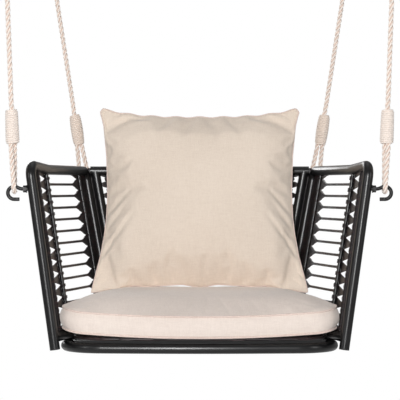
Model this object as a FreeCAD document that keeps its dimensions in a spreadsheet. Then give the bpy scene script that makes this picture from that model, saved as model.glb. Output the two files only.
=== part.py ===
import FreeCAD, Part
import math
import os

import Sketcher
from FreeCAD import Placement, Rotation, Vector

# A hanging garden seat: a one-seat tub of bent steel tube laced with rattan, with a box
# seat cushion and a back pillow, hung by four twisted ropes from four ceiling hooks.
# Frame: +Z up, +X to the sitter's left, the seat faces -Y. The origin lies on the ceiling,
# midway between the four ropes. All sizes are in millimetres.

DIMENSIONS = (
    # name, size, what it is
    ("hang_drop", 630.0, "ceiling down to the bars of the front seat hooks"),
    ("front_half_top", 361.0, "centre of the seat to a front post, at the rim"),
    ("front_half_base", 311.5, "centre of the seat to a front post, at the bottom rail"),
    ("rear_half_top", 272.5, "centre of the seat to a rear post, at the rim"),
    ("rear_half_base", 206.5, "centre of the seat to a rear post, at the bottom rail"),
    ("depth_top", 450.0, "front posts to rear posts, at the rim"),
    ("depth_base", 430.0, "front posts to rear posts, at the bottom rail"),
    ("rim_rise", 37.0, "front seat hooks' bars up to the rim"),
    ("rail_drop", 322.0, "front seat hooks' bars down to the bottom rails"),
    ("foot_length", 23.0, "bottom rails down to the posts' cut ends"),
    ("tube_dia", 22.0, "frame tube, outside"),
    ("tube_wall", 1.5, "frame tube, wall"),
    ("front_bend", 25.0, "bend of the rim into a front post, on the centre line"),
    ("rear_bend", 22.0, "bend of the rim into a rear post, on the centre line"),
    ("rim_lift", 9.0, "how far the rim's front corners rise over the rest of it"),
    ("rim_bend", 160.0, "bend where the rim levels out behind its front corners"),
    ("tube_gap", 0.3, "between tubes that are bolted together"),
    ("post_gap", 1.5, "between a rear post and the back frame's post"),
    ("ring_bow", 21.0, "how far the seat ring's front stands before the posts"),
    ("ring_front_bend", 85.0, "front corners of the seat ring"),
    ("ring_rear_bend", 98.0, "rear corners of the seat ring"),
    ("bar_dia", 16.0, "cross bars under the seat, outside"),
    ("rod_dia", 8.0, "rods between the rim and the bottom rail"),
    ("rod_gap", 0.9, "between a rod's end and the tube it is welded to"),
    ("lace_pitch", 26.0, "height from one lacing rung to the next"),
    ("lace_dia", 5.0, "a rung of rattan lacing"),
    ("lace_start", 32.3, "rim down to the first rung"),
    ("lace_gap", 0.3, "between the lacing and the rods it lies on"),
    ("deck_thick", 8.0, "woven seat deck"),
    ("deck_gap", 2.0, "between the deck's edge and the tubes beside it"),
    ("hook_wire", 8.0, "wire of the seat and ceiling hooks"),
    ("hook_arc", 13.5, "radius of a hook, on the centre line"),
    ("hook_crank", 8.4, "a seat hook's shank above the centre of its arc"),
    ("hook_tip", 11.0, "straight tip of a seat hook"),
    ("hook_depth", 7.0, "threaded end of a seat hook beyond its post's centre line"),
    ("front_reach", 39.6, "post to the centre of the arc of a front seat hook"),
    ("rear_reach", 42.0, "post to the centre of the arc of a rear seat hook"),
    ("nut_flats", 13.0, "hook nuts, across flats"),
    ("nut_thick", 6.5, "hook nuts"),
    ("washer_dia", 16.6, "hook washers"),
    ("washer_thick", 1.6, "hook washers"),
    ("hole_gap", 0.2, "between a bolt and its hole, on the radius"),
    ("bolt_dia", 6.0, "frame bolts"),
    ("bolt_flats", 10.0, "frame bolts' heads and nuts, across flats"),
    ("bolt_head", 4.0, "frame bolts' heads and nuts, thickness"),
    ("cap_thick", 3.0, "foot caps below the posts' ends"),
    ("cap_plug", 12.0, "foot caps inside the posts"),
    ("cap_gap", 0.1, "between a foot cap's plug and its post"),
    ("rope_dia", 11.0, "rope"),
    ("whip_dia", 30.0, "whippings that close the rope eyes"),
    ("front_eye", 89.5, "front hook bar up to the lower whipping"),
    ("rear_eye", 86.0, "rear hook bar up to the lower whipping"),
    ("upper_eye", 62.0, "ceiling hook bar down to the upper whipping"),
    ("lower_whip", 76.0, "length of a lower whipping"),
    ("upper_whip", 60.0, "length of an upper whipping"),
    ("eye_gap", 1.4, "between a rope eye and the wire it runs round"),
    ("front_rope_half", 416.0, "centre of the seat to a front rope's ceiling hook"),
    ("rear_rope_half", 365.0, "centre of the seat to a rear rope's ceiling hook"),
    ("plate_side", 64.0, "ceiling plates"),
    ("plate_thick", 5.0, "ceiling plates"),
    ("plate_round", 8.0, "ceiling plates' corners"),
    ("screw_spacing", 44.0, "screw holes of a ceiling plate"),
    ("screw_hole", 6.4, "screw holes of a ceiling plate, diameter"),
    ("ceiling_shank", 22.0, "straight shank of a ceiling hook"),
    ("ceiling_tip", 8.0, "straight tip of a ceiling hook"),
    ("cushion_sink", 0.5, "seat cushion's clearance over what it lies on"),
    ("cushion_top", 82.0, "top of the seat cushion above the bottom rails"),
    ("cushion_gap", 1.0, "seat cushion to the rods beside it"),
    ("cushion_front", 28.0, "seat cushion's front edge before the posts"),
    ("cushion_rear", 28.0, "seat cushion's rear edge to the rear posts' line"),
    ("cushion_round", 48.0, "seat cushion's corners"),
    ("pillow_width", 482.0, "back pillow"),
    ("pillow_height", 430.0, "back pillow"),
    ("pillow_thick", 130.0, "back pillow"),
    ("pillow_lean", 15.0, "back pillow, degrees from upright"),
    ("pillow_gap", 1.0, "back pillow to the rim and the seat cushion"),
)

REAR_SPLAY = 12.0  # degrees that the rear seat hooks turn outwards
HOOK_LEAVE = 30.0  # degrees of a seat hook's bend between its shank and its arc
RIM_LEVEL_FROM = 0.3  # part of a side panel over which its rim comes down to its level
ROD_SHARES = {"front": 0.10, "second": 0.26, "rear": 0.85}  # places along a side panel
BACK_ROD_INSET = 25.5  # a back rod from its back post, centre to centre
BAR_SHARES = (0.27, 0.52, 0.78)  # places of the cross bars along the seat
SEAT_BOLT_SHARES = (0.30, 0.75)  # places of the bolts along a bottom rail
BACK_BOLT_SHARES = (0.25, 0.85)  # places of the bolts down the lacing of the back panel
RING_MIDDLE_SHARE = 0.4  # part of the seat ring's half front that its middle bend takes
OVERRUN = 0.1  # part of a bottom rail that its coping tool runs on past both ends
LENS_OVERRUN = 5.0  # each of the back pillow's two lens shapes runs on past the other
DRILL_REACH = 4  # length of a drill through two tubes, in tube diameters
SIDES = {"left": -1, "right": 1}
UP = Vector(0, 0, 1)


class Bound:
    """A number with the spreadsheet expression that gives it."""

    def __init__(self, number, text):
        self.number = number
        self.text = text

    def __float__(self):
        return float(self.number)

    def join(self, other, sign, number):
        text = other.text if isinstance(other, Bound) else repr(float(other))
        return Bound(number, "(" + self.text + " " + sign + " " + text + ")")

    def __add__(self, other):
        return self.join(other, "+", float(self) + float(other))

    def __sub__(self, other):
        return self.join(other, "-", float(self) - float(other))

    def __mul__(self, other):
        return self.join(other, "*", float(self) * float(other))

    def __truediv__(self, other):
        return self.join(other, "/", float(self) / float(other))

    def __neg__(self):
        return self * -1


ZERO = Bound(0, "0")

doc = FreeCAD.newDocument("HangingSeat")
sheet = doc.addObject("Spreadsheet::Sheet", "Dimensions")
for row, (name, amount, meaning) in enumerate(DIMENSIONS, start=1):
    sheet.set("A%d" % row, meaning)
    sheet.set("B%d" % row, str(amount))
    sheet.setAlias("B%d" % row, name)
doc.recompute()
subparts = []


def dim(name):
    """A driving dimension, with its cell."""
    return Bound(float(sheet.get(name)), "Dimensions." + name)


def size(name):
    """A driving dimension as a plain number."""
    return float(sheet.get(name))


def bind(thing, **values):
    """Bind properties of a document object to the spreadsheet."""
    for prop, value in values.items():
        thing.setExpression(prop, value.text)


def keep(thing, label, placement=None):
    """Name a sub-part and put it in its place."""
    thing.Label = label
    if placement is not None:
        thing.Placement = placement
    subparts.append(thing)
    return thing


def keep_shape(label, shape):
    """A sub-part whose shape is swept along a path in space."""
    thing = doc.addObject("Part::Feature", label)
    thing.Shape = shape
    return keep(thing, label, Placement())


# Levels and places that several sub-parts share.

HALF_TUBE = size("tube_dia") / 2
HALF_ROD = size("rod_dia") / 2
HALF_WIRE = size("hook_wire") / 2
BAR_Z = -size("hang_drop")
RIM_Z = BAR_Z + size("rim_rise")
RAIL_Z = BAR_Z - size("rail_drop")
RING_Z = RAIL_Z - size("tube_dia") - size("tube_gap")
FOOT_Z = RAIL_Z - size("foot_length")
DECK_TOP_Z = RAIL_Z + size("cushion_sink")
PANEL_HEIGHT = RIM_Z - RAIL_Z


def share(first, last, part):
    """The value that lies a given part of the way from first to last."""
    return first + (last - first) * part


def frame_point(side, along, z):
    """A point of a side panel: along runs from 0, front post, to 1, rear post."""
    down = (RIM_Z - z) / PANEL_HEIGHT
    front_x = share(size("front_half_top"), size("front_half_base"), down)
    rear_x = share(size("rear_half_top"), size("rear_half_base"), down)
    depth = share(size("depth_top"), size("depth_base"), down)
    return Vector(side * share(front_x, rear_x, along), FRONT_Y + depth * along, z)


def rim_level(along):
    """Height of a side panel's rim: it comes down from its front corner."""
    return RIM_Z + size("rim_lift") * max(0, 1 - along / RIM_LEVEL_FROM)


def back_point(side, inset, z):
    """A point of the back panel, an inset inwards from the rear post's centre."""
    point = frame_point(side, 1, z)
    return point - Vector(side * inset, 0, 0)


def rear_hook_z():
    """Height of the rear seat hooks' shanks: their arcs are centred at BAR_Z."""
    return BAR_Z + size("hook_crank")


def rear_post_depth(z):
    """Front posts to rear posts at a height."""
    return share(size("depth_top"), size("depth_base"), (RIM_Z - z) / PANEL_HEIGHT)


REAR_OUT = Vector(math.sin(math.radians(REAR_SPLAY)), math.cos(math.radians(REAR_SPLAY)), 0)
ROPE_SPAN = rear_post_depth(rear_hook_z()) + size("rear_reach") * REAR_OUT.y
FRONT_Y = -ROPE_SPAN / 2
REAR_Y = ROPE_SPAN / 2


# Shapes swept along paths.


def corner_arc(before, corner, after, radius):
    """The arc that rounds a corner of a path, as its start, middle and end."""
    back = (before - corner).normalize()
    ahead = (after - corner).normalize()
    half = back.getAngle(ahead) / 2
    reach = radius / math.tan(half)
    middle = (back + ahead).normalize()
    centre = corner + middle * (radius / math.sin(half))
    return corner + back * reach, centre - middle * radius, corner + ahead * reach


def rounded_path(points, radii, closed=False):
    """A path of straight runs joined by tangent arcs."""
    count = len(points)
    edges = []
    arcs = []
    for index, radius in enumerate(radii):
        here = index if closed else index + 1
        arcs.append(corner_arc(points[here - 1], points[here], points[(here + 1) % count], radius))
    start = arcs[-1][2] if closed else points[0]
    for first, middle, last in arcs:
        edges.append(Part.makeLine(start, first))
        edges.append(Part.Arc(first, middle, last).toShape())
        start = last
    if not closed:
        edges.append(Part.makeLine(start, points[-1]))
    return Part.Wire(edges)


def sweep(path, diameter):
    """A round bar along a path."""
    first = path.OrderedEdges[0]
    start = first.valueAt(first.FirstParameter)
    heading = first.tangentAt(first.FirstParameter)
    ring = Part.Wire(Part.makeCircle(diameter / 2, start, heading))
    return path.makePipeShell([ring], True, False)


def bar(start, end, diameter):
    """A straight round bar between two points."""
    return Part.makeCylinder(diameter / 2, (end - start).Length, start, end - start)


def tube_of(path_or_ends, wall_off=0.0):
    """The outside of a frame tube, or its bore when a wall is taken off."""
    diameter = size("tube_dia") - 2 * wall_off
    if isinstance(path_or_ends, tuple):
        return bar(path_or_ends[0], path_or_ends[1], diameter)
    return sweep(path_or_ends, diameter)


def weldment(main, others, holes):
    """Frame tubes welded into one piece: hollow, coped onto each other, and drilled."""
    bores = [tube_of(run, size("tube_wall")) for run in [main] + others]
    outside = tube_of(main)
    for run in others:
        outside = outside.fuse(tube_of(run).cut(bores[0]))
    outside = outside.cut(bores[0])
    for bore in bores[1:]:
        outside = outside.cut(bore.cut(tube_of(main)))
    for hole in holes:
        outside = outside.cut(hole)
    return outside.removeSplitter()


# Where bolts pass through the frame.


def hook_seat(end, side):
    """A seat hook's place on its post: the point, and the way that the hook points."""
    if end == "front":
        point = frame_point(side, 0, BAR_Z - size("hook_arc") + size("hook_crank"))
        return point, Vector(side, 0, 0)
    return frame_point(side, 1, rear_hook_z()), Vector(side * REAR_OUT.x, REAR_OUT.y, 0)


def seat_bolt_point(side, along):
    """Where a frame bolt crosses a bottom rail."""
    return frame_point(side, along, RAIL_Z)


def back_bolt_point(side, down):
    """Where a frame bolt crosses a rear post, midway between two rungs of the lacing."""
    levels = rung_levels()
    above = int(down * (len(levels) - 1))
    return frame_point(side, 1, levels[above] - size("lace_pitch") / 2)


def drill(point, heading, diameter, length):
    """The tool for a clearance hole, centred on a point."""
    radius = diameter / 2 + size("hole_gap")
    start = point - heading.normalize() * (length / 2)
    return Part.makeCylinder(radius, length, start, heading)


def hook_drill(end, side):
    """The threaded hole for a seat hook, through the outer wall of its post only."""
    point, heading = hook_seat(end, side)
    middle = point + heading * HALF_TUBE
    return drill(middle, Vector(heading), size("hook_wire"), size("tube_dia"))


def seat_drill(side, along):
    """The hole through a bottom rail and the seat ring under it."""
    length = DRILL_REACH * size("tube_dia")
    return drill(seat_bolt_point(side, along), Vector(UP), size("bolt_dia"), length)


def back_drill(side, down):
    """The hole through a rear post and the back frame's post beside it."""
    point = back_bolt_point(side, down)
    length = DRILL_REACH * size("tube_dia")
    return drill(point, Vector(side, 0, 0), size("bolt_dia"), length)


def side_frame(name, side):
    """Front post, rim and rear post in one bent tube, with the bottom rail welded in."""
    turns = ((0, FOOT_Z), (0, rim_level(0)), (RIM_LEVEL_FROM, RIM_Z), (1, RIM_Z), (1, FOOT_Z))
    corners = [frame_point(side, along, z) for along, z in turns]
    hoop = rounded_path(corners, (size("front_bend"), size("rim_bend"), size("rear_bend")))
    rail = (frame_point(side, 0, RAIL_Z), frame_point(side, 1, RAIL_Z))
    holes = [hook_drill("front", side), hook_drill("rear", side)]
    holes += [seat_drill(side, along) for along in SEAT_BOLT_SHARES]
    holes += [back_drill(side, down) for down in BACK_BOLT_SHARES]
    keep_shape(name + "_side_frame", weldment(hoop, [rail], holes))


def back_inset():
    """Centre of a rear post to the centre of the back frame's post."""
    return size("tube_dia") + size("post_gap")


def back_frame():
    """Top rail, two posts and bottom rail of the back panel, welded."""
    end = size("rear_half_top") - HALF_TUBE - size("post_gap")
    y = frame_point(1, 1, RIM_Z).y
    top = (Vector(-end, y, RIM_Z), Vector(end, y, RIM_Z))
    posts = []
    for side in SIDES.values():
        posts.append((back_point(side, back_inset(), RIM_Z), back_point(side, back_inset(), RAIL_Z)))
    bottom = (back_point(-1, back_inset(), RAIL_Z), back_point(1, back_inset(), RAIL_Z))
    holes = [back_drill(side, down) for side in SIDES.values() for down in BACK_BOLT_SHARES]
    keep_shape("back_frame", weldment(top, posts + [bottom], holes))


def seat_ring():
    """The level ring under the seat: its sides run below the side panels' bottom rails."""
    corners = [Vector(0, FRONT_Y - size("ring_bow"), RING_Z)]
    for side, ends in ((1, (0, 1)), (-1, (1, 0))):
        for along in ends:
            rail = frame_point(side, along, RAIL_Z)
            corners.append(Vector(rail.x, rail.y, RING_Z))
    middle_bend = RING_MIDDLE_SHARE * corners[1].x ** 2 / size("ring_bow")
    front_bend = size("ring_front_bend")
    rear_bend = size("ring_rear_bend")
    radii = (middle_bend, front_bend, rear_bend, rear_bend, front_bend)
    path = rounded_path(corners, radii, closed=True)
    bore = sweep(path, size("tube_dia") - 2 * size("tube_wall"))
    ring = sweep(path, size("tube_dia")).cut(bore)
    for side in SIDES.values():
        for along in SEAT_BOLT_SHARES:
            ring = ring.cut(seat_drill(side, along))
    keep_shape("seat_ring", ring)


def cross_bars():
    """Three straight bars under the deck, from one side of the seat ring to the other."""
    z = DECK_TOP_Z - size("deck_thick") - size("bar_dia") / 2
    bars = []
    for along in BAR_SHARES:
        left = frame_point(-1, along, RAIL_Z)
        right = frame_point(1, along, RAIL_Z)
        left.z = z
        right.z = z
        bars.append(bar(left, right, size("bar_dia")).cut(seat_rim_block()))
    keep_shape("seat_cross_bars", Part.makeCompound(bars))


def seat_rim_block():
    """What the cross bars are coped to: the seat ring's sides and the bottom rails, solid."""
    reach = size("tube_dia") + 2 * size("tube_gap")
    block = None
    for side in SIDES.values():
        rail = (frame_point(side, -OVERRUN, RAIL_Z), frame_point(side, 1 + OVERRUN, RAIL_Z))
        drop = Vector(0, 0, RING_Z - RAIL_Z)
        for shift in (Vector(0, 0, 0), drop):
            run = bar(rail[0] + shift, rail[1] + shift, reach)
            block = run if block is None else block.fuse(run)
    return block


# Rods and lacing.


def rod(label, top, bottom):
    """A straight rod between the rim and a bottom rail, cut to fit between the tubes."""
    heading = (bottom - top).normalize()
    short = HALF_TUBE + size("rod_gap")
    start = top + heading * short
    thing = doc.addObject("Part::Cylinder", label)
    bind(thing, Radius=dim("rod_dia") / 2)
    thing.Height = (bottom - top).Length - 2 * short
    keep(thing, label, Placement(start, Rotation(UP, heading)))


def side_rods(name, side):
    for place, along in ROD_SHARES.items():
        top = frame_point(side, along, rim_level(along))
        rod(name + "_" + place + "_rod", top, frame_point(side, along, RAIL_Z))


def back_rods():
    inset = back_inset() + BACK_ROD_INSET
    for name, side in SIDES.items():
        rod("back_" + name + "_rod", back_point(side, inset, RIM_Z), back_point(side, inset, RAIL_Z))


def rung_levels():
    """Heights of the lacing's level rungs."""
    levels = []
    z = RIM_Z - size("lace_start")
    while z > RAIL_Z + HALF_TUBE + size("lace_dia"):
        levels.append(z)
        z -= size("lace_pitch")
    return levels


def rung(start, end, inwards):
    """A straight strand between two posts, laid on the inner side of the rods."""
    offset = inwards * (HALF_ROD + size("lace_dia") / 2 + size("lace_gap"))
    heading = (end - start).normalize()
    margin = HALF_TUBE + size("lace_gap")
    return bar(start + offset + heading * margin, end + offset - heading * margin, size("lace_dia"))


def side_weave(name, side):
    """The level rungs of a side panel's lacing."""
    rungs = []
    for z in rung_levels():
        start = frame_point(side, 0, z)
        end = frame_point(side, 1, z)
        inwards = (end - start).cross(UP).normalize() * -side
        rungs.append(rung(start, end, inwards))
    keep_shape(name + "_side_weave", Part.makeCompound(rungs))


def back_weave():
    """The level rungs of the back panel's lacing."""
    rungs = []
    for z in rung_levels():
        ends = [back_point(side, back_inset(), z) for side in SIDES.values()]
        rungs.append(rung(ends[0], ends[1], Vector(0, -1, 0)))
    keep_shape("back_weave", Part.makeCompound(rungs))


# Sketched pieces.


def origin_plane(body, role):
    return [plane for plane in body.Origin.OriginFeatures if plane.Role == role][0]


def new_sketch(body, name):
    sketch = body.newObject("Sketcher::SketchObject", name)
    sketch.AttachmentSupport = [(origin_plane(body, "XY_Plane"), "")]
    sketch.MapMode = "FlatFace"
    return sketch


def bind_point(sketch, geometry, position, x, y):
    """Tie a sketch point to its distances from the origin."""
    for kind, value in (("DistanceX", x), ("DistanceY", y)):
        rule = Sketcher.Constraint(kind, -1, 1, geometry, position, float(value))
        index = sketch.addConstraint(rule)
        sketch.setExpression("Constraints[%d]" % index, value.text)


def outline_sketch(body, name, corners):
    """A closed outline of straight edges, each corner bound to the spreadsheet."""
    sketch = new_sketch(body, name)
    points = [Vector(float(x), float(y), 0) for x, y in corners]
    count = len(points)
    for index, point in enumerate(points):
        sketch.addGeometry(Part.LineSegment(point, points[(index + 1) % count]), False)
    for index in range(count):
        rule = Sketcher.Constraint("Coincident", index, 2, (index + 1) % count, 1)
        sketch.addConstraint(rule)
    for index, (x, y) in enumerate(corners):
        bind_point(sketch, index, 1, x, y)
    return sketch


def hole_sketch(body, name, centres, radius):
    """Round holes, bound to the spreadsheet."""
    sketch = new_sketch(body, name)
    for index, (x, y) in enumerate(centres):
        centre = Vector(float(x), float(y), 0)
        sketch.addGeometry(Part.Circle(centre, UP, float(radius)), False)
        bind_point(sketch, index, 3, x, y)
        rule = sketch.addConstraint(Sketcher.Constraint("Radius", index, float(radius)))
        sketch.setExpression("Constraints[%d]" % rule, radius.text)
    return sketch


def padded(label, corners, thickness):
    """A body with one outline padded upwards."""
    body = doc.addObject("PartDesign::Body", label)
    pad = body.newObject("PartDesign::Pad", label + "_pad")
    pad.Profile = outline_sketch(body, label + "_outline", corners)
    bind(pad, Length=thickness)
    body.Tip = pad
    return body, pad


def round_corners(body, pad, places, radius):
    """Round the upright edges of a body's pad at some of its outline's corners."""
    doc.recompute()
    edges = []
    for index, edge in enumerate(pad.Shape.Edges, start=1):
        ends = [vertex.Point for vertex in edge.Vertexes]
        upright = abs(ends[0].x - ends[-1].x) + abs(ends[0].y - ends[-1].y) < 0.01
        near = [place for place in places if abs(ends[0].x - place[0]) + abs(ends[0].y - place[1]) < 0.01]
        if upright and near:
            edges.append("Edge%d" % index)
    fillet = body.newObject("PartDesign::Fillet", pad.Name + "_round")
    fillet.Base = (pad, edges)
    bind(fillet, Radius=radius)
    body.Tip = fillet


def panel_half(top_name, base_name, rise):
    """Half width of the frame at a post, a rise above the bottom rails."""
    height = dim("rim_rise") + dim("rail_drop")
    return dim(base_name) + (dim(top_name) - dim(base_name)) * rise / height


def seat_outline(edge_gap, rise, front_out, rear_y):
    """A plan that follows the side panels at a gap, and bows forward at the front."""
    front_half = panel_half("front_half_top", "front_half_base", rise)
    rear_half = panel_half("rear_half_top", "rear_half_base", rise)
    back_half = front_half + (rear_half - front_half) * rear_y / dim("depth_base") - edge_gap
    front_half = front_half - edge_gap
    return (
        (-front_half, ZERO),
        (ZERO, -front_out),
        (front_half, ZERO),
        (back_half, rear_y),
        (-back_half, rear_y),
    )


def round_seat_plan(body, pad, outline, front_radius, rear_radius):
    """Round the front and the rear corners of a seat-shaped pad."""
    plan = [(float(x), float(y)) for x, y in outline]
    round_corners(body, pad, (plan[0], plan[2]), front_radius)
    front_fillet = body.Tip
    round_corners(body, front_fillet, (plan[3], plan[4]), rear_radius)


def seat_deck():
    """The woven deck, between the bottom rails and over the cross bars."""
    gap = dim("tube_dia") / 2 + dim("deck_gap")
    outline = seat_outline(gap, ZERO, dim("ring_bow"), dim("depth_base") - gap)
    body, pad = padded("seat_deck_weave", outline, dim("deck_thick"))
    round_seat_plan(body, pad, outline, dim("ring_front_bend"), dim("ring_rear_bend"))
    keep(body, "seat_deck_weave", Placement(Vector(0, FRONT_Y, DECK_TOP_Z - size("deck_thick")), Rotation()))


def cushion_slab(name, edge_gap, rise, low, high):
    """One level of the seat cushion, from low to high above the bottom rails' centres."""
    outline = seat_outline(edge_gap, rise, dim("cushion_front"), dim("depth_base") - dim("cushion_rear"))
    body, pad = padded(name, outline, high - low)
    round_seat_plan(body, pad, outline, dim("cushion_round"), dim("cushion_round") / 2)
    body.Placement = Placement(Vector(0, FRONT_Y, RAIL_Z + float(low)), Rotation())
    return body


def seat_cushion():
    """The seat cushion: wide over the bottom rails, narrower where it sinks between them."""
    bed = dim("cushion_sink") * 2
    rail_top = dim("tube_dia") / 2 + dim("cushion_sink")
    between_rails = dim("tube_dia") / 2 + dim("deck_gap")
    over_rails = dim("rod_dia") / 2 + dim("lace_gap") * 2 + dim("lace_dia") + dim("cushion_gap")
    lower = cushion_slab("seat_cushion_lower", between_rails, ZERO, bed, rail_top)
    upper = cushion_slab("seat_cushion_upper", over_rails, rail_top, rail_top, dim("cushion_top"))
    whole = doc.addObject("Part::Fuse", "seat_cushion")
    whole.Base = upper
    whole.Tool = lower
    keep(whole, "seat_cushion", Placement())


def lens(half_length, half_thick, length_axis, thick_axis):
    """A face between two arcs that meet at both ends."""
    ends = (length_axis * -half_length, length_axis * half_length)
    arcs = [Part.Arc(ends[0], thick_axis * way * half_thick, ends[1]).toShape() for way in (1, -1)]
    return Part.Face(Part.Wire([arcs[0], arcs[1]]))


def pillow_place():
    """Centre of the back pillow: it stands on the seat cushion and leans on the rim."""
    lean = math.radians(size("pillow_lean"))
    half_height = size("pillow_height") / 2
    half_thick = size("pillow_thick") / 2
    z = RAIL_Z + size("cushion_top") + size("pillow_gap") + half_height * math.cos(lean)
    curve = (half_height ** 2 + half_thick ** 2) / (2 * half_thick)
    ahead = curve - half_thick
    rise = RIM_Z - (z + ahead * math.sin(lean))
    reach = curve + HALF_TUBE + size("pillow_gap")
    rim_y = frame_point(1, 1, RIM_Z).y
    y = rim_y - math.sqrt(reach ** 2 - rise ** 2) + ahead * math.cos(lean)
    return Placement(Vector(0, y, z), Rotation(Vector(1, 0, 0), -size("pillow_lean")))


def back_pillow():
    """The back pillow: thick in the middle, pinched to a seam all round."""
    width = size("pillow_width")
    height = size("pillow_height")
    half_thick = size("pillow_thick") / 2
    across = Vector(1, 0, 0)
    through = Vector(0, 1, 0)
    upright = lens(height / 2, half_thick, UP, through)
    upright.translate(across * (-width / 2 - LENS_OVERRUN))
    flat = lens(width / 2, half_thick, across, through)
    flat.translate(UP * (-height / 2 - LENS_OVERRUN))
    long = upright.extrude(across * (width + 2 * LENS_OVERRUN))
    thing = doc.addObject("Part::Feature", "back_cushion")
    thing.Shape = long.common(flat.extrude(UP * (height + 2 * LENS_OVERRUN)))
    keep(thing, "back_cushion", pillow_place())


# Hooks, nuts, washers, bolts and caps.


def facing(point, heading):
    """A placement whose +Z points along a heading."""
    return Placement(point, Rotation(UP, heading))


def hex_blank(name, flats, thickness):
    """A six-sided blank."""
    blank = doc.addObject("Part::Prism", name)
    blank.Polygon = 6
    bind(blank, Circumradius=flats / math.sqrt(3), Height=thickness)
    return blank


def round_blank(name, diameter, thickness):
    """A round blank."""
    blank = doc.addObject("Part::Cylinder", name)
    bind(blank, Radius=diameter / 2, Height=thickness)
    return blank


def bored(name, blank, bore, thickness, placement):
    """A blank with a hole through it, such as a nut or a washer."""
    hole = round_blank(name + "_hole", bore, thickness)
    ring = doc.addObject("Part::Cut", name)
    ring.Base = blank
    ring.Tool = hole
    ring.Placement = placement
    return ring


def group(label, things):
    """Identical fasteners kept together as one sub-part."""
    gathered = doc.addObject("Part::Compound", label)
    gathered.Links = things
    keep(gathered, label, Placement())


def washer_seat(end, side):
    """Distance from a post's centre to the washer of its hook, clear of the leaning tube."""
    heading = hook_seat(end, side)[1]
    along = 0 if end == "front" else 1
    post = (frame_point(side, along, RIM_Z) - frame_point(side, along, RAIL_Z)).normalize()
    lean = math.asin(abs(post.dot(heading)))
    return HALF_TUBE / math.cos(lean) + size("washer_dia") / 2 * math.tan(lean) + size("hole_gap")


def hook_path(end, side):
    """Centre line of a seat hook, from its threaded end to its tip."""
    point, out = hook_seat(end, side)
    leave = math.radians(HOOK_LEAVE)
    arc = size("hook_arc")
    centre = hook_centre(end, side)
    fillet = (arc * math.cos(leave) - size("hook_crank")) / (1 - math.cos(leave))
    joint = centre + out * (-arc * math.sin(leave)) + UP * (arc * math.cos(leave))
    turn = joint - out * (fillet * math.sin(leave)) + UP * (fillet * math.cos(leave))
    half = leave / 2
    middle = turn + out * (fillet * math.sin(half)) - UP * (fillet * math.cos(half))
    crank = turn - UP * fillet
    start = point - out * size("hook_depth")
    tip = centre - UP * arc
    edges = [Part.makeLine(start, crank), Part.Arc(crank, middle, joint).toShape()]
    edges.append(Part.Arc(joint, centre + out * arc, tip).toShape())
    edges.append(Part.makeLine(tip, tip - out * size("hook_tip")))
    return Part.Wire(edges)


def seat_hook(end, name, side):
    """An open hook bolt screwed into a post, with its washer and nut."""
    label = end + "_" + name
    keep_shape(label + "_hook_bolt", sweep(hook_path(end, side), size("hook_wire")))
    point, out = hook_seat(end, side)
    bore = dim("hook_wire") + dim("hole_gap") * 2
    seat = point + out * washer_seat(end, side)
    disc = round_blank(label + "_washer_disc", dim("washer_dia"), dim("washer_thick"))
    washer = label + "_hook_washer"
    keep(bored(washer, disc, bore, dim("washer_thick"), facing(seat, out)), washer)
    blank = hex_blank(label + "_nut_hex", dim("nut_flats"), dim("nut_thick"))
    seat = seat + out * size("washer_thick")
    nut = label + "_hook_nut"
    keep(bored(nut, blank, bore, dim("nut_thick"), facing(seat, out)), nut)


def frame_bolts(label, places):
    """Hexagon bolts and their nuts: each place is a point, a heading and a length."""
    bolts = []
    nuts = []
    for index, (head_at, heading, grip) in enumerate(places):
        tag = "%s_%d" % (label, index + 1)
        head = hex_blank(tag + "_head", dim("bolt_flats"), dim("bolt_head"))
        shank = doc.addObject("Part::Cylinder", tag + "_shank")
        bind(shank, Radius=dim("bolt_dia") / 2)
        shank.Height = grip + 2 * size("bolt_head")
        bolt = doc.addObject("Part::Fuse", tag + "_bolt")
        bolt.Base = head
        bolt.Tool = shank
        head.Placement = Placement(UP * -size("bolt_head"), Rotation())
        bolt.Placement = facing(head_at, heading)
        bolts.append(bolt)
        blank = hex_blank(tag + "_hex", dim("bolt_flats"), dim("bolt_head"))
        bore = dim("bolt_dia") + dim("hole_gap") * 2
        place = facing(head_at + heading * grip, heading)
        nuts.append(bored(tag + "_nut", blank, bore, dim("bolt_head"), place))
    group(label + "_bolts", bolts)
    group(label + "_nuts", nuts)


def seat_bolts(name, side):
    """Bolts down through a bottom rail into the seat ring."""
    places = []
    for along in SEAT_BOLT_SHARES:
        head_at = seat_bolt_point(side, along) + UP * (HALF_TUBE + size("hole_gap"))
        grip = head_at.z - (RING_Z - HALF_TUBE) + size("hole_gap")
        places.append((head_at, Vector(0, 0, -1), grip))
    frame_bolts(name + "_seat", places)


def back_bolts(name, side):
    """Bolts across from a rear post into the back frame's post."""
    post = (frame_point(side, 1, RIM_Z) - frame_point(side, 1, RAIL_Z)).normalize()
    lean = math.asin(abs(post.x))
    half_head = size("bolt_flats") / math.sqrt(3)
    clear = HALF_TUBE / math.cos(lean) + half_head * math.tan(lean) + size("hole_gap")
    places = []
    for down in BACK_BOLT_SHARES:
        head_at = back_bolt_point(side, down) + Vector(side * clear, 0, 0)
        places.append((head_at, Vector(-side, 0, 0), back_inset() + 2 * clear))
    frame_bolts(name + "_back", places)


def foot_cap(end, name, side):
    """A plastic cap pushed into the open end of a post."""
    along = 0 if end == "front" else 1
    foot = frame_point(side, along, FOOT_Z)
    heading = (frame_point(side, along, RIM_Z) - foot).normalize()
    label = end + "_" + name + "_foot_cap"
    flange = round_blank(label + "_flange", dim("tube_dia"), dim("cap_thick"))
    plug_dia = dim("tube_dia") - dim("tube_wall") * 2 - dim("cap_gap") * 2
    plug = round_blank(label + "_plug", plug_dia, dim("cap_thick") + dim("cap_plug"))
    cap = doc.addObject("Part::Fuse", label)
    cap.Base = flange
    cap.Tool = plug
    keep(cap, label, facing(foot - heading * size("cap_thick"), heading))


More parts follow.
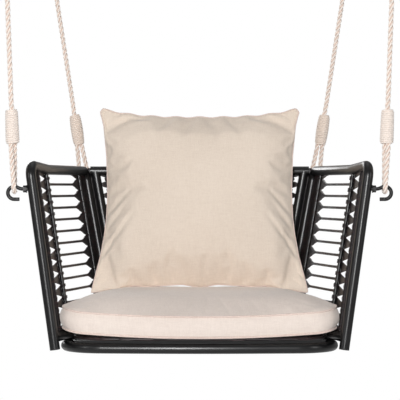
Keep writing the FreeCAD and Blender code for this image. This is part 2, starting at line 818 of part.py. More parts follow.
# Ropes and ceiling hooks.

CEILING_BAR_Z = -(size("plate_thick") + size("ceiling_shank") + size("hook_arc"))
EYE_RADIUS = HALF_WIRE + size("rope_dia") / 2 + size("eye_gap")


def hook_centre(end, side):
    """Centre of a seat hook's arc."""
    point, out = hook_seat(end, side)
    return point + out * size(end + "_reach") - UP * size("hook_crank")


def rope_ends(end, side):
    """The two hook bars that a rope runs between: on the seat, and on the ceiling."""
    low = hook_centre(end, side) + UP * size("hook_arc")
    return low, Vector(side * size(end + "_rope_half"), low.y, CEILING_BAR_Z)


def rope_eye(hook_bar, along, across, length):
    """The rope's loop round a hook bar, up to where its whipping starts."""
    spread = size("rope_dia") / 2 + size("eye_gap") / 4
    reach = length - size("eye_gap") / 2
    angle = math.atan2(spread, reach) + math.acos(EYE_RADIUS / math.hypot(spread, reach))
    starts = []
    touches = []
    for way in (1, -1):
        starts.append(hook_bar + along * reach + across * (way * spread))
        touch = along * math.cos(angle) + across * (way * math.sin(angle))
        touches.append(hook_bar + touch * EYE_RADIUS)
    edges = [Part.makeLine(starts[0], touches[0])]
    edges.append(Part.Arc(touches[0], hook_bar - along * EYE_RADIUS, touches[1]).toShape())
    edges.append(Part.makeLine(touches[1], starts[1]))
    return sweep(Part.Wire(edges), size("rope_dia"))


def whipping(label, start, heading, length):
    """The tight winding that closes an eye, as its outer shape."""
    thing = doc.addObject("Part::Cylinder", label)
    bind(thing, Radius=dim("whip_dia") / 2, Height=length)
    keep(thing, label, facing(start, heading))


def rope(end, name, side):
    """One rope with its eyes, and the two whippings that close them."""
    low, high = rope_ends(end, side)
    along = (high - low).normalize()
    across = Vector(0, 1, 0)
    low_across = across
    if end == "rear":
        low_across = along.cross(hook_seat(end, side)[1]).normalize()
    label = end + "_" + name
    low_start = low + along * size(end + "_eye")
    high_start = high - along * size("upper_eye")
    run = (low_start + along * size("lower_whip"), high_start - along * size("upper_whip"))
    solids = [rope_eye(low, along, low_across, size(end + "_eye"))]
    solids.append(bar(run[0], run[1], size("rope_dia")))
    solids.append(rope_eye(high, along * -1, across, size("upper_eye")))
    keep_shape(label + "_rope", Part.makeCompound(solids))
    whipping(label + "_lower_whipping", low_start, along, dim("lower_whip"))
    whipping(label + "_upper_whipping", high_start, along * -1, dim("upper_whip"))
    print(label, "rope: eye radius", round(EYE_RADIUS, 2), "straight run", round((run[1] - run[0]).Length, 1))


def ceiling_plate(label, centre):
    """A square plate with four screw holes, its top on the ceiling."""
    half = dim("plate_side") / 2
    outline = ((-half, -half), (half, -half), (half, half), (-half, half))
    body, pad = padded(label + "_plate", outline, dim("plate_thick"))
    corners = [(float(x), float(y)) for x, y in outline]
    round_corners(body, pad, corners, dim("plate_round"))
    rounded = body.Tip
    place = dim("screw_spacing") / 2
    centres = ((-place, -place), (place, -place), (place, place), (-place, place))
    holes = body.newObject("PartDesign::Pocket", label + "_screw_holes")
    holes.Profile = hole_sketch(body, label + "_hole_plan", centres, dim("screw_hole") / 2)
    holes.Reversed = True
    bind(holes, Length=dim("plate_thick"))
    body.Tip = holes
    doc.recompute()
    if holes.Shape.Volume > rounded.Shape.Volume - 1:
        raise RuntimeError(label + ": the screw holes cut nothing")
    body.Placement = Placement(centre - UP * size("plate_thick"), Rotation())
    return body


def ceiling_hook(end, name, side):
    """A screwed plate with an open hook whose bar lies along X."""
    label = end + "_" + name + "_ceiling_hook"
    hook_bar = rope_ends(end, side)[1]
    plate = ceiling_plate(label, Vector(hook_bar.x, hook_bar.y, 0))
    centre = hook_bar + UP * size("hook_arc")
    inwards = Vector(-side * size("hook_arc"), 0, 0)
    root = centre + inwards
    root.z = -size("plate_thick") / 2
    edges = [Part.makeLine(root, centre + inwards)]
    edges.append(Part.Arc(centre + inwards, hook_bar, centre - inwards).toShape())
    edges.append(Part.makeLine(centre - inwards, centre - inwards + UP * size("ceiling_tip")))
    wire = doc.addObject("Part::Feature", label + "_wire")
    wire.Shape = sweep(Part.Wire(edges), size("hook_wire"))
    hook = doc.addObject("Part::Fuse", label)
    hook.Base = plate
    hook.Tool = wire
    keep(hook, label, Placement())


def build():
    """Every sub-part, in the order that it is put together."""
    for name, side in SIDES.items():
        side_frame(name, side)
    back_frame()
    seat_ring()
    cross_bars()
    back_rods()
    back_weave()
    seat_deck()
    seat_cushion()
    back_pillow()
    for name, side in SIDES.items():
        side_rods(name, side)
        side_weave(name, side)
        seat_bolts(name, side)
        back_bolts(name, side)
        for end in ("front", "rear"):
            foot_cap(end, name, side)
            seat_hook(end, name, side)
            ceiling_hook(end, name, side)
            rope(end, name, side)


def faults():
    """Everything that failed to build, in words."""
    found = []
    for thing in doc.Objects:
        if "Invalid" in thing.State or "Error" in thing.State:
            found.append(thing.Name + " is in state " + ", ".join(thing.State))
    for thing in subparts:
        if thing.Shape.isNull() or not thing.Shape.isValid():
            found.append(thing.Label + " has no valid shape")
    return found


build()
doc.recompute()
problems = faults()
if problems:
    raise RuntimeError("; ".join(problems))
os.makedirs("parts", exist_ok=True)
for thing in subparts:
    thing.Shape.exportStep("parts/" + thing.Label + ".step")
    print(thing.Label, round(thing.Shape.Volume / 1000, 1), "cm3")
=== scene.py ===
import math

import bpy
import numpy as np
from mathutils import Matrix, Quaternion, Vector


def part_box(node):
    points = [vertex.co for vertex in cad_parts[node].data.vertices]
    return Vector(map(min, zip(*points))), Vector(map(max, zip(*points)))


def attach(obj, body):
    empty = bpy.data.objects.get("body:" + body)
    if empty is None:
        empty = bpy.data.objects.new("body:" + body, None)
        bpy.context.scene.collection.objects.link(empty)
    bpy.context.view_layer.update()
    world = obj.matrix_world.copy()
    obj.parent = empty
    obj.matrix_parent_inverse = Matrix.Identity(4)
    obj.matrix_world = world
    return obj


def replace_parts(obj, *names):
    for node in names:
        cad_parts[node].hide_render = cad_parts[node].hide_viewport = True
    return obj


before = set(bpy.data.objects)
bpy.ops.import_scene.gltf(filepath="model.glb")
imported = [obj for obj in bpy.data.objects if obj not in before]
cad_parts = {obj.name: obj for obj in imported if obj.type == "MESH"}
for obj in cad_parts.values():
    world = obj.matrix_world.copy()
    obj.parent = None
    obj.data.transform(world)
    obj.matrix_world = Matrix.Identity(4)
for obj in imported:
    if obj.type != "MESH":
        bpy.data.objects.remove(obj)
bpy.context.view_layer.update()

# A hanging porch chair, in metres: +Z up, the origin on the ceiling between the four ropes,
# the seat facing -Y. The sizes below are the part's own.
SIDES = {"left": -1, "right": 1}
FRONT_Y, REAR_Y = -0.244744, 0.244744
RIM_Z, RAIL_Z, BAR_Z, CEILING_BAR_Z = -0.593, -0.952, -0.630, -0.0405
TUBE, ROD = 0.011, 0.004  # radii of the frame tube and of the rods
FRONT_HALF, REAR_HALF, DEPTH = (0.361, 0.3115), (0.2725, 0.2065), (0.450, 0.430)  # rim, rail
RIM_LIFT, RIM_LEVEL_FROM = 0.009, 0.3  # the rim rises to its front corners
PITCH = 0.026
RUNGS = [RIM_Z - 0.0323 - PITCH * n for n in range(12)]
ROD_PLACES = (0.10, 0.26, 0.85)
BACK_POST, BACK_ROD = 0.0235, 0.049  # back panel's post and rod, inwards from the rear post
ROPE, WHIP, LOWER_WHIP, EYE = 0.011, 0.015, 0.076, 0.0109
LAY_PITCH = 0.039
LEG = 0.00585
LEG_TURN = math.radians(35)


def lerp(first, last, part):
    return first + (last - first) * part


def panel(side, along, z, inward=0.0):
    """A point of a side panel: along runs from the front post to the rear post."""
    down = (RIM_Z - z) / (RIM_Z - RAIL_Z)
    front, rear, depth = lerp(*FRONT_HALF, down), lerp(*REAR_HALF, down), lerp(*DEPTH, down)
    square = Vector((-depth, rear - front)).normalized() * inward
    return Vector((side * (lerp(front, rear, along) + square.x), FRONT_Y + depth * along + square.y, z))


def back(side, inset, z, outward=0.0):
    """A point of the back panel, an inset inwards from the rear post."""
    point = panel(side, 1, z)
    return Vector((point.x - side * inset, point.y - outward, z))


# ---------------------------------------------------------------- lines and bars


def nurbs(points, resolution=10):
    """The line that a route's NURBS spline draws."""
    curve = bpy.data.curves.new("route", "CURVE")
    curve.dimensions = "3D"
    curve.resolution_u = resolution
    spline = curve.splines.new("NURBS")
    spline.points.add(len(points) - 1)
    for control, point in zip(spline.points, points):
        control.co = (*point, 1)
    spline.order_u = 3
    spline.use_endpoint_u = True
    holder = bpy.data.objects.new("route", curve)
    mesh = bpy.data.meshes.new_from_object(holder)
    line = np.array([v.co for v in mesh.vertices])
    bpy.data.objects.remove(holder)
    bpy.data.curves.remove(curve)
    bpy.data.meshes.remove(mesh)
    return line


def even(line, step):
    """The same line with points a step apart."""
    line = np.asarray(line, float)
    run = np.r_[0, np.cumsum(np.linalg.norm(np.diff(line, axis=0), axis=1))]
    count = max(2, round(run[-1] / step))
    at = np.linspace(0, run[-1], count + 1)
    return np.stack([np.interp(at, run, line[:, k]) for k in range(3)], 1)


def ring(radius, count=8):
    turn = np.linspace(0, 2 * np.pi, count, endpoint=False)
    return np.stack([np.cos(turn), np.sin(turn)], 1) * radius


class Bars:
    """Bars swept along lines and gathered into one mesh.

    Each point keeps its place along and round its bar, and its height over the grooves.
    """

    def __init__(self):
        self.points, self.faces, self.lay, self.crown, self.total, self.bars = [], [], [], [], 0, 0

    def add(self, line, outline, closed=False, crown=None):
        line = np.asarray(line, float)
        n = len(line)
        outline = np.broadcast_to(outline, (n, *np.shape(outline)[-2:]))
        k = outline.shape[1]
        if closed:
            ahead = np.roll(line, -1, 0) - np.roll(line, 1, 0)
        else:
            ahead = np.gradient(line, axis=0)
        ahead /= np.linalg.norm(ahead, axis=1)[:, None]
        side = np.cross(ahead[0], (0.31, 0.17, 0.93))
        sides = []
        for a in ahead:
            side = side - a * (side @ a)
            side /= np.linalg.norm(side)
            sides.append(side)
        sides = np.array(sides)
        ups = np.cross(ahead, sides)
        made = line[:, None] + outline[..., :1] * sides[:, None] + outline[..., 1:] * ups[:, None]
        run = np.r_[0, np.cumsum(np.linalg.norm(np.diff(line, axis=0), axis=1))]
        lay = np.concatenate([np.repeat(run[:, None, None], k, 1) + self.bars * 0.37, outline], 2)
        base = self.total
        rows = n if closed else n - 1
        for i in range(rows):
            here, there = base + i * k, base + (i + 1) % n * k
            for j in range(k):
                m = (j + 1) % k
                self.faces.append((here + j, here + m, there + m, there + j))
        if not closed:
            self.faces.append(tuple(base + j for j in reversed(range(k))))
            self.faces.append(tuple(base + (n - 1) * k + j for j in range(k)))
        self.points.append(made.reshape(-1, 3))
        self.lay.append(lay.reshape(-1, 3))
        self.crown.append(np.ones(n * k) if crown is None else np.broadcast_to(crown, (n, k)).ravel())
        self.total += n * k
        self.bars += 1

    def made(self, name, body, slot, material):
        obj = build(name, np.concatenate(self.points), self.faces, material)
        lay = obj.data.attributes.new("lay", "FLOAT_VECTOR", "POINT")
        lay.data.foreach_set("vector", np.concatenate(self.lay).astype(np.float32).ravel())
        crown = obj.data.attributes.new("crown", "FLOAT", "POINT")
        crown.data.foreach_set("value", np.concatenate(self.crown).astype(np.float32))
        return placed(obj, body)


def build(name, points, faces, material):
    mesh = bpy.data.meshes.new(name)
    mesh.from_pydata([tuple(p) for p in points], [], faces)
    mesh.update()
    mesh.materials.append(material)
    mesh.shade_smooth()
    obj = bpy.data.objects.new(name, mesh)
    bpy.context.scene.collection.objects.link(obj)
    return obj


def placed(obj, body):
    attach(obj, body)
    return obj


def coil(start, heading, radius, length, pitch, steps=11):
    """A helix round an axis."""
    heading = Vector(heading).normalized()
    side = heading.orthogonal().normalized()
    up = heading.cross(side)
    turns = length / pitch
    line = []
    for n in range(max(2, round(turns * steps)) + 1):
        part = n / max(2, round(turns * steps))
        r = radius(part) if callable(radius) else radius
        a = 2 * math.pi * turns * part
        line.append(Vector(start) + heading * (length * part) + (side * math.cos(a) + up * math.sin(a)) * r)
    return line


# ---------------------------------------------------------------- materials


class Shade:
    """A material and its nodes."""

    def __init__(self, name, **fixed):
        self.mat = bpy.data.materials.new(name)
        self.mat.use_nodes = True
        self.tree = self.mat.node_tree
        self.skin = self.tree.nodes["Principled BSDF"]
        for key, value in fixed.items():
            self.skin.inputs[key.replace("_", " ")].default_value = value

    def node(self, kind, options=(), **inputs):
        made = self.tree.nodes.new("ShaderNode" + kind)
        for key, value in dict(options).items():
            setattr(made, key, value)
        for key, value in inputs.items():
            name = int(key[1:]) if key[0] == "i" and key[1:].isdigit() else key.replace("_", " ")
            self.feed(made.inputs[name], value)
        return made

    def feed(self, socket, value):
        if isinstance(value, bpy.types.NodeSocket):
            self.tree.links.new(value, socket)
        else:
            socket.default_value = value

    def place(self, scale=(1, 1, 1), lay=False):
        """Coordinates on the piece: its own space, or along and round its bars."""
        if lay:
            source = self.node("Attribute", {"attribute_name": "lay"}).outputs["Vector"]
        else:
            source = self.node("TexCoord").outputs["Object"]
        return self.node("Mapping", i0=source, Scale=scale).outputs[0]

    def noise(self, where, scale, detail=3.0, rough=0.5):
        made = self.node("TexNoise", Vector=where, Scale=scale, Detail=detail, Roughness=rough)
        return made.outputs[0]

    def math(self, what, a, b=0.0, c=0.0):
        return self.node("Math", {"operation": what}, i0=a, i1=b, i2=c).outputs[0]

    def ramp(self, value, *stops):
        """Colours or numbers against a value from 0 to 1."""
        made = self.node("ValToRGB", i0=value)
        bar = made.color_ramp.elements
        while len(bar) < len(stops):
            bar.new(0.5)
        for stop, (at, colour) in zip(bar, stops):
            stop.position = at
            stop.color = (*colour, 1) if hasattr(colour, "__len__") else (colour, colour, colour, 1)
        return made.outputs[0]

    def mix(self, share, first, second, way="MIX"):
        made = self.node("Mix", {"data_type": "RGBA", "blend_type": way}, i0=share)
        for index, value in ((6, first), (7, second)):
            self.feed(made.inputs[index], value)
        return made.outputs[2]

    def finish(self, colour=None, rough=None, height=None, distance=0.0005, strength=0.6):
        for name, value in (("Base Color", colour), ("Roughness", rough)):
            if value is not None:
                self.feed(self.skin.inputs[name], value)
        if height is not None:
            bump = self.node("Bump", Height=height, Distance=distance, Strength=strength)
            self.feed(self.skin.inputs["Normal"], bump.outputs[0])
        return self.mat


def painted_steel(name, low, high, gloss):
    """Satin black coating: faint orange peel, handling marks, and a little dust on top that doubles as a
    painted soft highlight.
    """
    shade = Shade(name, Specular_IOR_Level=0.5, Coat_Weight=0.15, Coat_Roughness=0.2)
    where = shade.place()
    cloud = shade.noise(where, 22.0, 5.0)
    peel = shade.noise(where, 900.0, 2.0)
    scratch = shade.noise(shade.place((60, 60, 900)), 1.0, 4.0)
    up = shade.node("SeparateXYZ", i0=shade.node("TexCoord").outputs["Normal"]).outputs[2]
    # Upward faces are lightened: partly dust, partly a painted soft highlight from above.
    dust_and_sheen = shade.math("MULTIPLY", shade.ramp(up, (0.55, 0.0), (1.0, 0.5)), cloud)
    body = shade.ramp(cloud, (0.3, low), (0.7, high))
    colour = shade.mix(dust_and_sheen, body, (0.016, 0.016, 0.016, 1))
    marks = shade.math("MULTIPLY_ADD", scratch, 0.5, shade.math("MULTIPLY", cloud, 0.5))
    rough = shade.ramp(marks, (0.3, gloss), (0.75, gloss + 0.10))
    return shade.finish(colour, rough, peel, 0.00004, 0.2)


def metal_black(name):
    """Blackened hardware: worn brighter where it rubs."""
    shade = Shade(name, Metallic=0.65, Specular_IOR_Level=0.5)
    where = shade.place()
    wear = shade.noise(where, 160.0, 6.0, 0.65)
    colour = shade.ramp(
        wear, (0.40, (0.018, 0.018, 0.019)), (0.62, (0.045, 0.044, 0.043)), (0.78, (0.16, 0.155, 0.15))
    )
    rough = shade.ramp(wear, (0.3, 0.34), (0.75, 0.52))
    return shade.finish(colour, rough, shade.noise(where, 700.0, 3.0), 0.0002, 0.4)


def moulded_plastic(name):
    shade = Shade(name, Specular_IOR_Level=0.4)
    where = shade.place()
    grain = shade.node("TexVoronoi", Vector=where, Scale=1400.0).outputs[0]
    cloud = shade.noise(where, 90.0, 4.0)
    colour = shade.ramp(cloud, (0.3, (0.012, 0.012, 0.013)), (0.8, (0.030, 0.029, 0.028)))
    return shade.finish(colour, shade.ramp(cloud, (0.3, 0.48), (0.8, 0.62)), grain, 0.0002, 0.5)


def rattan_skin(name):
    """Dark rattan strand: long fibres, some strands redder and paler than others."""
    shade = Shade(name, Specular_IOR_Level=0.5, Coat_Weight=0.25, Coat_Roughness=0.35)
    fibre = shade.noise(shade.place((14, 900, 900), True), 1.0, 4.0)
    patch = shade.noise(shade.place((9, 40, 40), True), 1.0, 3.0)
    dark = shade.ramp(fibre, (0.25, (0.004, 0.0028, 0.003)), (0.75, (0.016, 0.008, 0.009)))
    red = shade.ramp(fibre, (0.25, (0.022, 0.009, 0.009)), (0.75, (0.085, 0.034, 0.032)))
    colour = shade.mix(shade.ramp(patch, (0.50, 0.0), (0.70, 1.0)), dark, red)
    rough = shade.ramp(fibre, (0.2, 0.36), (0.8, 0.60))
    return shade.finish(colour, rough, fibre, 0.0004, 0.7)


def rope_skin(name, fibres, tint):
    """Twisted cotton: fine yarns, painted shade in the grooves with a little dirt, and a few stained fibres.
    """
    shade = Shade(name, Specular_IOR_Level=0.2, Sheen_Weight=0.35, Sheen_Roughness=0.6)
    yarn = shade.noise(shade.place(fibres, True), 1.0, 4.0, 0.6)
    stain = shade.noise(shade.place((26, 160, 160), True), 1.0, 3.0)
    crown = shade.node("Attribute", {"attribute_name": "crown"}).outputs["Fac"]
    pale = shade.ramp(yarn, (0.2, tuple(0.84 * c for c in tint)), (0.75, tint))
    # Painted shade: points low in the grooves (small crown) are mixed towards brown.
    groove = shade.mix(shade.ramp(crown, (0.0, 0.8), (0.6, 0.0)), pale, (0.66, 0.46, 0.37, 1))
    colour = shade.mix(shade.ramp(stain, (0.66, 0.0), (0.76, 0.45)), groove, (0.50, 0.24, 0.18, 1))
    return shade.finish(colour, shade.ramp(yarn, (0.2, 0.78), (0.8, 0.95)), yarn, 0.0007, 0.8)


def woven(name, light, dark, thread, sheen=0.3):
    """A plain weave whose threads follow the faces of the piece, with slubs and a faint large mottle of
    lighter and darker tone.
    """
    shade = Shade(name, Specular_IOR_Level=0.15, Sheen_Weight=sheen, Sheen_Roughness=0.5)
    where = shade.place()
    axes = shade.node("SeparateXYZ", i0=where).outputs
    facing = shade.node("SeparateXYZ", i0=shade.node("TexCoord").outputs["Normal"]).outputs
    waves = [shade.math("SINE", shade.math("MULTIPLY", axis, 2 * math.pi / thread)) for axis in axes]
    weave = None
    for a, b, c in ((0, 1, 2), (0, 2, 1), (1, 2, 0)):
        share = shade.math("MULTIPLY", facing[c], facing[c])
        part = shade.math("MULTIPLY", shade.math("MULTIPLY", waves[a], waves[b]), share)
        weave = part if weave is None else shade.math("ADD", weave, part)
    weave = shade.math("MULTIPLY_ADD", weave, 0.5, 0.5)
    slub = shade.noise(shade.place((60, 60, 420)), 1.0, 4.0, 0.6)
    cross = shade.noise(shade.place((420, 60, 60)), 1.0, 4.0, 0.6)
    cloud = shade.noise(where, 7.0, 3.0)
    tone = shade.math("MULTIPLY", cloud, 0.20)
    for part, share in ((cross, 0.25), (slub, 0.25), (weave, 0.30)):
        tone = shade.math("MULTIPLY_ADD", part, share, tone)
    colour = shade.ramp(tone, (0.30, dark), (0.62, light))
    height = shade.math("MULTIPLY_ADD", weave, 0.6, shade.math("MULTIPLY", slub, 0.4))
    return shade.finish(colour, shade.ramp(slub, (0.2, 0.82), (0.8, 0.95)), height, 0.0004, 0.55)


steel = painted_steel("satin_black_tube", (0.003, 0.003, 0.0035), (0.006, 0.006, 0.0065), 0.27)
rod_steel = painted_steel("satin_black_rod", (0.003, 0.003, 0.0035), (0.007, 0.0065, 0.007), 0.25)
hardware = metal_black("blackened_steel")
fastener = metal_black("blackened_fasteners")
plastic = moulded_plastic("black_cap_plastic")
rattan = rattan_skin("dark_rattan")
rope_cotton = rope_skin("twisted_rope", (120, 700, 700), (0.97, 0.87, 0.79))
whip_cotton = rope_skin("whipping_cord", (500, 900, 900), (0.98, 0.87, 0.79))
# A darker, browner copy of the whipping cord, used on the rear whippings.
darker_whip_cotton = rope_skin("whipping_cord_darker", (300, 900, 900), (0.92, 0.79, 0.69))
cover = woven("seat_cover_weave", (0.85, 0.75, 0.68), (0.69, 0.59, 0.53), 0.0016)
pillow_cover = woven("pillow_cover_weave", (0.86, 0.75, 0.64), (0.70, 0.58, 0.48), 0.0018)
welt = woven("welt_weave", (0.84, 0.70, 0.63), (0.62, 0.48, 0.42), 0.0012)

def dress_cad():
    """Give every CAD node its material, by its kind."""
    kinds = (
        ("_rod", rod_steel), ("hook_bolt", hardware), ("ceiling_hook", hardware),
        ("washer", fastener), ("nut", fastener), ("bolts", fastener), ("foot_cap", plastic),
        ("whipping", whip_cotton), ("_rope", rope_cotton), ("weave", rattan),
        ("back_cushion", pillow_cover), ("seat_cushion", cover),
    )
    for name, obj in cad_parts.items():
        skin = next((m for word, m in kinds if word in name), steel)
        obj.data.materials.clear()
        obj.data.materials.append(skin)


# ---------------------------------------------------------------- camera, light and floor


def studio():
    camera = bpy.data.objects.new("camera", bpy.data.cameras.new("camera"))
    camera.data.sensor_width = 36
    camera.data.lens = 160.56
    camera.data.clip_end = 100
    camera.location = (0.0009, FRONT_Y - 3.8, -0.631)
    camera.rotation_euler = (math.radians(90 - 0.4175), 0, 0)
    bpy.context.scene.collection.objects.link(camera)
    bpy.context.scene.camera = camera
    bpy.context.scene.view_settings.view_transform = "Standard"
    world = bpy.data.worlds.new("studio")
    bpy.context.scene.world = world
    world.use_nodes = True
    tree = world.node_tree
    seen, around = tree.nodes["Background"], tree.nodes.new("ShaderNodeBackground")
    for sky, strength in ((seen, 1.0), (around, 0.24)):
        sky.inputs[0].default_value = (1, 1, 1, 1)
        sky.inputs[1].default_value = strength
    rays, both = tree.nodes.new("ShaderNodeLightPath"), tree.nodes.new("ShaderNodeMixShader")
    tree.links.new(rays.outputs["Is Camera Ray"], both.inputs[0])
    tree.links.new(around.outputs[0], both.inputs[1])
    tree.links.new(seen.outputs[0], both.inputs[2])
    tree.links.new(both.outputs[0], tree.nodes["World Output"].inputs[0])
    for name, place, size, power in (
        ("key", (-0.4, -4.4, 0.0), (0.40, 1.8), 126),
        ("left", (-3.0, -2.4, 0.2), (0.8, 1.8), 14),
        ("right", (3.0, -2.2, 0.0), (0.8, 1.8), 14),
        ("top", (0.2, 0.2, 1.8), (1.8, 1.8), 5),
        ("rear", (-1.2, 2.4, 0.4), (1.4, 1.4), 34),
    ):
        light = bpy.data.objects.new(name, bpy.data.lights.new(name, "AREA"))
        light.data.shape = "RECTANGLE"
        light.data.size, light.data.size_y = size
        light.data.energy = power
        light.location = place
        aim = Vector((0, 0, -0.72)) - Vector(place)
        light.rotation_euler = aim.to_track_quat("-Z", "Y").to_euler()
        bpy.context.scene.collection.objects.link(light)
    floor_skin = Shade("pale_floor", Roughness=0.7)
    grain = floor_skin.noise(floor_skin.place(), 30.0, 5.0)
    floor_skin.finish(floor_skin.ramp(grain, (0.2, 0.84), (0.8, 0.88)), None, grain, 0.001, 0.1)
    turn = np.linspace(0, 2 * np.pi, 96, endpoint=False)
    edge = np.stack([2.1 * np.cos(turn), 2.1 * np.sin(turn), np.full(96, -1.42)], 1)
    build("floor", edge, [tuple(range(96))], floor_skin.mat)


# ---------------------------------------------------------------- ropes


def lobes(radius, count=30):
    """Three strands' outline, with the height of each point over the grooves."""
    turn = np.linspace(0, 2 * np.pi, count, endpoint=False)
    strand = radius / (1 + 2 / math.sqrt(3))
    centre = strand * 2 / math.sqrt(3)
    off = (turn + np.pi / 3) % (2 * np.pi / 3) - np.pi / 3
    reach = centre * np.cos(off) + np.sqrt(np.maximum(strand**2 - (centre * np.sin(off)) ** 2, 0))
    reach = np.maximum(reach, radius * 0.60)
    crown = (reach - reach.min()) / (radius - reach.min())
    return turn, reach, crown


def rope_route(low, high, hook_across, eye, whip, turn):
    """The rope from its lower bound end, round the seat hook, up to the ceiling hook and back."""
    along = (high - low).normalized()
    span = (high - low).length
    legs = Vector(hook_across)
    legs.rotate(Quaternion(along, turn))
    top = Vector((0, 1, 0))
    upper_eye, upper_whip = 0.062, 0.060
    mouth, above = span - upper_eye, span - upper_eye - upper_whip
    route = [
        (eye + whip - 0.012, -LEG, legs), (eye + 0.02, -LEG, legs), (eye - 0.012, -LEG, legs),
        (EYE, -EYE, hook_across), (-EYE, -EYE, hook_across),
        (-EYE, EYE, hook_across), (EYE, EYE, hook_across),
        (eye - 0.012, LEG, legs), (eye + 0.02, LEG, legs), (eye + whip - 0.02, LEG * 0.7, legs),
        (eye + whip + 0.004, 0, legs), (eye + whip + 0.066, 0, legs),
        (above - 0.066, 0, top), (above - 0.004, 0, top), (above + 0.02, LEG * 0.7, top),
        (mouth - 0.02, LEG, top), (mouth + 0.012, LEG, top),
        (span - EYE, EYE, top), (span + EYE, EYE, top), (span + EYE, -EYE, top), (span - EYE, -EYE, top),
        (mouth + 0.012, -LEG, top), (mouth - 0.02, -LEG, top), (above + 0.012, -LEG, top),
    ]
    return [low + along * a + across * c for a, c, across in route], mouth, above


def whipping(name, start, heading, length, body, node, taper, skin):
    """A cord wound tightly round the two legs of an eye; taper gives how much it thins."""
    cord = 0.0042

    def reach(part):
        edge = min(part, 1 - part) * length
        return (WHIP - cord / 2) * (1 - taper(part)) * (1 - 0.16 * math.exp(-((edge / 0.003) ** 2)))

    bars = Bars()
    line = coil(start + heading * cord / 2, heading, reach, length - cord, cord, 22)
    # The crown values drive the painted groove shade: the turns lightly, the core between them more.
    bars.add(line, ring(cord * 0.53, 8), crown=0.75)
    parts = np.linspace(0.03, 0.97, 24)
    core = [start + heading * (length * part) for part in parts]
    bars.add(core, ring(1.0, 24)[None] * np.array([reach(part) for part in parts])[:, None, None], crown=0.25)
    obj = bars.made(name, body, "whipping", skin)
    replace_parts(obj, node)
    return obj


def rope(end, name, side):
    low_x, high_x, low_z = {"front": (0.394795, 0.416, BAR_Z), "rear": (0.275974, 0.365, -0.6165)}[end]
    y = FRONT_Y if end == "front" else REAR_Y
    low, high = Vector((side * low_x, y, low_z)), Vector((side * high_x, y, CEILING_BAR_Z))
    along = (high - low).normalized()
    across = Vector((0, 1, 0))
    turn = side * LEG_TURN
    if end == "rear":
        out = Vector((side * math.sin(math.radians(12)), math.cos(math.radians(12)), 0))
        across = along.cross(out).normalized()
        turn = 0
    eye, whip = (0.0895 if end == "front" else 0.086), LOWER_WHIP
    route, mouth, above = rope_route(low, high, across, eye, whip, turn)
    line = even(nurbs(route, 24), 0.0014)
    angle, reach, crown = lobes(ROPE * 0.515)
    run = np.r_[0, np.cumsum(np.linalg.norm(np.diff(line, axis=0), axis=1))]
    turned = angle[None] + (2 * np.pi * run / LAY_PITCH)[:, None]
    outline = np.stack([np.cos(turned), np.sin(turned)], 2) * reach[None, :, None]
    body = end + "_ropes"
    bars = Bars()
    bars.add(line, outline, crown=crown)
    still = np.stack([np.cos(angle), np.sin(angle)], 1) * reach[:, None]
    bars.lay[-1][:, 1:] = np.tile(still, (len(line), 1))
    label = end + "_" + name
    obj = bars.made(label + "_twisted_rope", body, "rope", rope_cotton)
    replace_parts(obj, label + "_rope")
    if end == "front":
        taper, skin = (lambda part: 0.10 * part**2), whip_cotton
    else:
        taper, skin = (lambda part: 0.16 * (2 * part - 1) ** 2), darker_whip_cotton
    lower = whipping(
        label + "_lower_binding", low + along * eye, along, whip, body, label + "_lower_whipping", taper, skin
    )
    upper = whipping(
        label + "_upper_binding", low + along * above, along, mouth - above, body, label + "_upper_whipping",
        lambda part: 0.03 - 0.03 * part, whip_cotton,
    )


# ---------------------------------------------------------------- lacing


STRAND = 0.00125


def strand(bars, points, radius=STRAND, step=0.004, sides=6):
    bars.add(even(nurbs(points, 6), step), ring(radius, sides))


def wraps(bars, centre, heading, core, turns, radius=STRAND):
    heading = Vector(heading).normalized()
    length = turns * radius * 2.05
    start = Vector(centre) - heading * length / 2
    bars.add(coil(start, heading, core + radius * 0.92, length, radius * 2.05), ring(radius, 6))


def laced(side, along, z, inward=0.0):
    """A point of a side panel, kept between its rim and its bottom rail."""
    roof = RIM_Z + RIM_LIFT * max(0, 1 - along / RIM_LEVEL_FROM) - TUBE + 0.001
    return panel(side, along, min(max(z, RAIL_Z + TUBE - 0.001), roof), inward)


